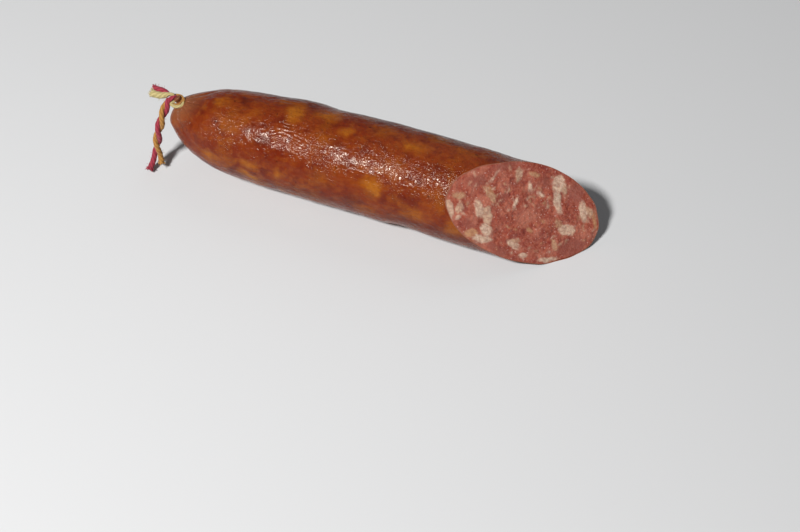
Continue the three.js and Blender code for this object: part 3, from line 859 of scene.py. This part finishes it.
def finish_strands(name, strands, materials, seed):
    """The finished piece: its strands, with the fibres that the tree grows on each colour of ply."""
    bare = strands.make(name + "_bare", materials)
    for ply in sorted(set(strands.slots)):
        modifier = bare.modifiers.new("fibres", "NODES")
        modifier.node_group = FIBRES
        settings = {**FIBRE_SETTINGS, "Ply": ply, "Cotton": materials[ply], "Seed": seed + ply}
        for key, value in settings.items():
            modifier[FIBRE_KEYS[key]] = value
        grown = bpy.data.meshes.new_from_object(bare.evaluated_get(bpy.context.evaluated_depsgraph_get()))
        bare.modifiers.clear()
        points = np.empty(3 * len(grown.vertices))
        grown.vertices.foreach_get("co", points)
        points = points.reshape(-1, 3) / MM
        points[:, 2] = np.maximum(points[:, 2], LOWEST_FIBRE)
        strands.add(points, [tuple(face.vertices) for face in grown.polygons], ply)
        bpy.data.meshes.remove(grown)
    bpy.data.objects.remove(bare)
    return strands.make(name, materials)


def make_long_end(materials):
    """Two plies wound round each other, red and ochre, that part near their ends."""
    line, along = smooth_line(LONG_END_ROUTE, LONG_END_POINTS)
    length = along[-1]
    tangents = unit(np.gradient(line, axis=0))
    right = unit(PICTURE_RIGHT - tangents * (tangents @ PICTURE_RIGHT)[:, None])
    near = np.cross(tangents, right)
    turn = -2 * math.pi * (np.minimum(along, UNWOUND_FROM) - FIRST_RIGHT) / LAY_LENGTH
    loose = smoothstep(along, length - LOOSE_LENGTH, length)
    pieces = Pieces()
    for slot, phase, cut_back, part in ((RED, 0.0, 0, 0.7), (OCHRE, math.pi, 9, 1.45)):
        offset = PLY_OFFSET + part * loose
        ply = line + right * (offset * np.cos(turn + phase))[:, None]
        ply = (ply + near * (offset * np.sin(turn + phase))[:, None])[:len(line) - cut_back]
        radius = PLY_RADIUS * (1 + 0.15 * loose[:len(ply)]) + 0.05 * np.sin(3.1 * along[:len(ply)] + phase)
        ply[:, 2] = np.maximum(ply[:, 2], radius + PLAY)
        pieces.tube(ply, radius, PLY_SIDES, slot, cut_end=True)
    piece = finish_strands("string_hanging_end", pieces, materials, SEED + 1)
    return piece, line * MM, length * MM


def thick_line(places, sizes):
    """A line through places, its lengths, and a radius at each of its points that follows the given ones."""
    line, along = smooth_line(places, SHORT_STRAND_POINTS)
    return line, along, np.interp(along, np.linspace(0, along[-1], len(sizes)), sizes)


def make_short_end(materials):
    """The string's other end, untwisted: a thick cream ply below and a short red one above it."""
    plies = [
        (CREAM, [(-1.0, 1.9, 0.5), (-2.6, 2.2, 0.3), (-4.2, 2.0, -0.3), (-5.9, 1.9, -1.0), (-8.0, 2.3, -2.0),
                 (-9.6, 2.9, -2.8)], [0.50, 0.72, 1.15, 1.28, 1.34, 1.38]),
        (RED, [(-3.2, 2.4, -0.9), (-4.6, 3.4, -1.4), (-6.3, 4.0, -2.0), (-7.7, 4.5, -2.6), (-8.9, 5.0, -3.1)],
         [0.6, 0.95, 1.12, 1.12, 0.95]),
    ]
    pieces = Pieces()
    for slot, route, sizes in plies:
        line, along, radius = thick_line([from_tie(*p) for p in route], sizes)
        pieces.tube(line, radius + 0.05 * np.sin(2.3 * along), PLY_SIDES, slot, cut_end=True)
    return finish_strands("string_cut_end", pieces, materials, SEED + 11)


def make_knot(materials):
    """The string's double ring round the neck, and the red ply that crosses it at its left."""
    def on_ring(right, up, lift):
        """A point on the slanting plane that the string's ring lies in, lifted off it to the camera."""
        return from_tie(right, up, 0.7 + 0.34 * (right - 1.0) - 0.40 * (up + 0.26) + lift)

    strands = [
        (OCHRE, [(-1.6, 1.9, 0), (-0.1, 2.0, 0), (1.5, 1.5, 0), (2.55, 0.2, 0), (2.6, -1.2, 0)],
         [0.50, 0.46, 0.46, 0.48, 0.50]),
        (CREAM, [(2.65, -0.9, 0), (2.0, -2.1, 0.1), (0.6, -2.6, 0.2), (-0.9, -2.4, 0.3), (-2.1, -1.7, 0.3),
                 (-3.3, -0.9, 0.0)], [0.50, 0.56, 0.62, 0.64, 0.62, 0.55]),
        (CREAM, [(-3.4, -0.5, -0.3), (-2.6, 0.2, 0), (-2.2, 1.0, 0), (-1.4, 1.9, -0.1)],
         [0.5, 0.6, 0.6, 0.5]),
        (OCHRE, [(-0.3, 1.1, -0.3), (1.2, 0.6, -0.3), (1.8, -0.6, -0.3), (0.8, -1.7, -0.2),
                 (-0.8, -1.5, -0.1), (-1.9, -0.5, -0.2), (-1.3, 0.7, -0.3), (-0.3, 1.1, -0.3)], [0.40] * 8),
        (CREAM, [(-2.6, -1.3, 0.5), (-1.7, -1.0, 0.7), (-0.8, -0.3, 0.5), (-0.5, 0.6, 0.1)],
         [0.40, 0.46, 0.42, 0.36]),
        (RED, [(-4.3, -1.2, 0.2), (-3.7, -0.5, 0.7), (-2.7, 0.1, 1.15), (-1.6, 0.85, 1.1), (-0.7, 1.3, 0.6),
               (0.0, 1.2, 0.0)], [0.72, 0.90, 0.96, 0.92, 0.76, 0.5]),
    ]
    pieces = Pieces()
    for slot, route, sizes in strands:
        line, _, radius = thick_line([on_ring(*p) for p in route], sizes)
        pieces.tube(line, radius, KNOT_PLY_SIDES, slot)
    return finish_strands("string_tie", pieces, materials, SEED + 21)


# Making the pieces, the cord first

PLIES = [dyed_cotton("red", "#7f2634", "#a83646", "#bb6a68"),
         dyed_cotton("ochre", "#92632c", "#bb8740", "#cfa468"),
         dyed_cotton("cream", "#a1915f", "#c4b37e", "#d8cba0")]

hanging_end, cord_path, cord_length = make_long_end(PLIES)
cut_end = make_short_end(PLIES)
tie = make_knot(PLIES)
body = make_body([dried_casing(), cut_casing()])
meat = make_meat(cured_meat())

DRESSED = [(hanging_end, "string_long_end", "string"), (cut_end, "string_short_end", "string"),
           (tie, "string_knot", "string"), (body, "sausage", "casing"), (meat, "sausage", "casing")]
for piece, solid, slot in DRESSED:
    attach(piece, "root")
    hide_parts(solid)


# Table, lights and background

TABLE_HALF_WIDTH = 3000.0


def make_table():
    """A plain pale table, painted matt."""
    mesh = bpy.data.meshes.new("table")
    half = TABLE_HALF_WIDTH * MM
    corners = [(-half, -half, 0), (half, -half, 0), (half, half, 0), (-half, half, 0)]
    mesh.from_pydata(corners, [], [(0, 1, 2, 3)])
    material, tree = new_material("painted_table")
    finish_surface(tree, Base_Color=(0.62, 0.62, 0.62, 1.0), Roughness=0.9, Specular_IOR_Level=0.1)
    mesh.materials.append(material)
    table = bpy.data.objects.new("table", mesh)
    bpy.context.collection.objects.link(table)


def make_light(name, place, aim, size, power, colour=(1.0, 1.0, 1.0)):
    """A soft rectangular light at a place, turned to the point that it aims at."""
    lamp = bpy.data.lights.new(name, "AREA")
    lamp.shape = "RECTANGLE"
    lamp.size, lamp.size_y = size[0] * MM, size[1] * MM
    lamp.energy = power
    lamp.color = colour
    light = bpy.data.objects.new(name, lamp)
    bpy.context.collection.objects.link(light)
    light.location = Vector(place) * MM
    light.rotation_euler = (Vector(aim) - Vector(place)).to_track_quat("-Z", "Y").to_euler()


# The key is high on the left, the fill behind the part, and the side light beyond the cut
make_table()
make_light("key", (-260, -665, 860), MIDDLE, (170, 115), 15.6)
make_light("fill", (150, 620, 700), MIDDLE, (900, 700), 0.95, (0.95, 0.97, 1.0))
make_light("side", (840, -505, 330), (60, 0, CENTRE_HEIGHT), (300, 300), 0.36)

scene = bpy.context.scene
scene.world = bpy.data.worlds.new("studio")
scene.world.use_nodes = True
background = scene.world.node_tree.nodes["Background"]
background.inputs["Color"].default_value = (0.92, 0.95, 1.0, 1.0)
background.inputs["Strength"].default_value = 0.07
scene.view_settings.view_transform = "Standard"
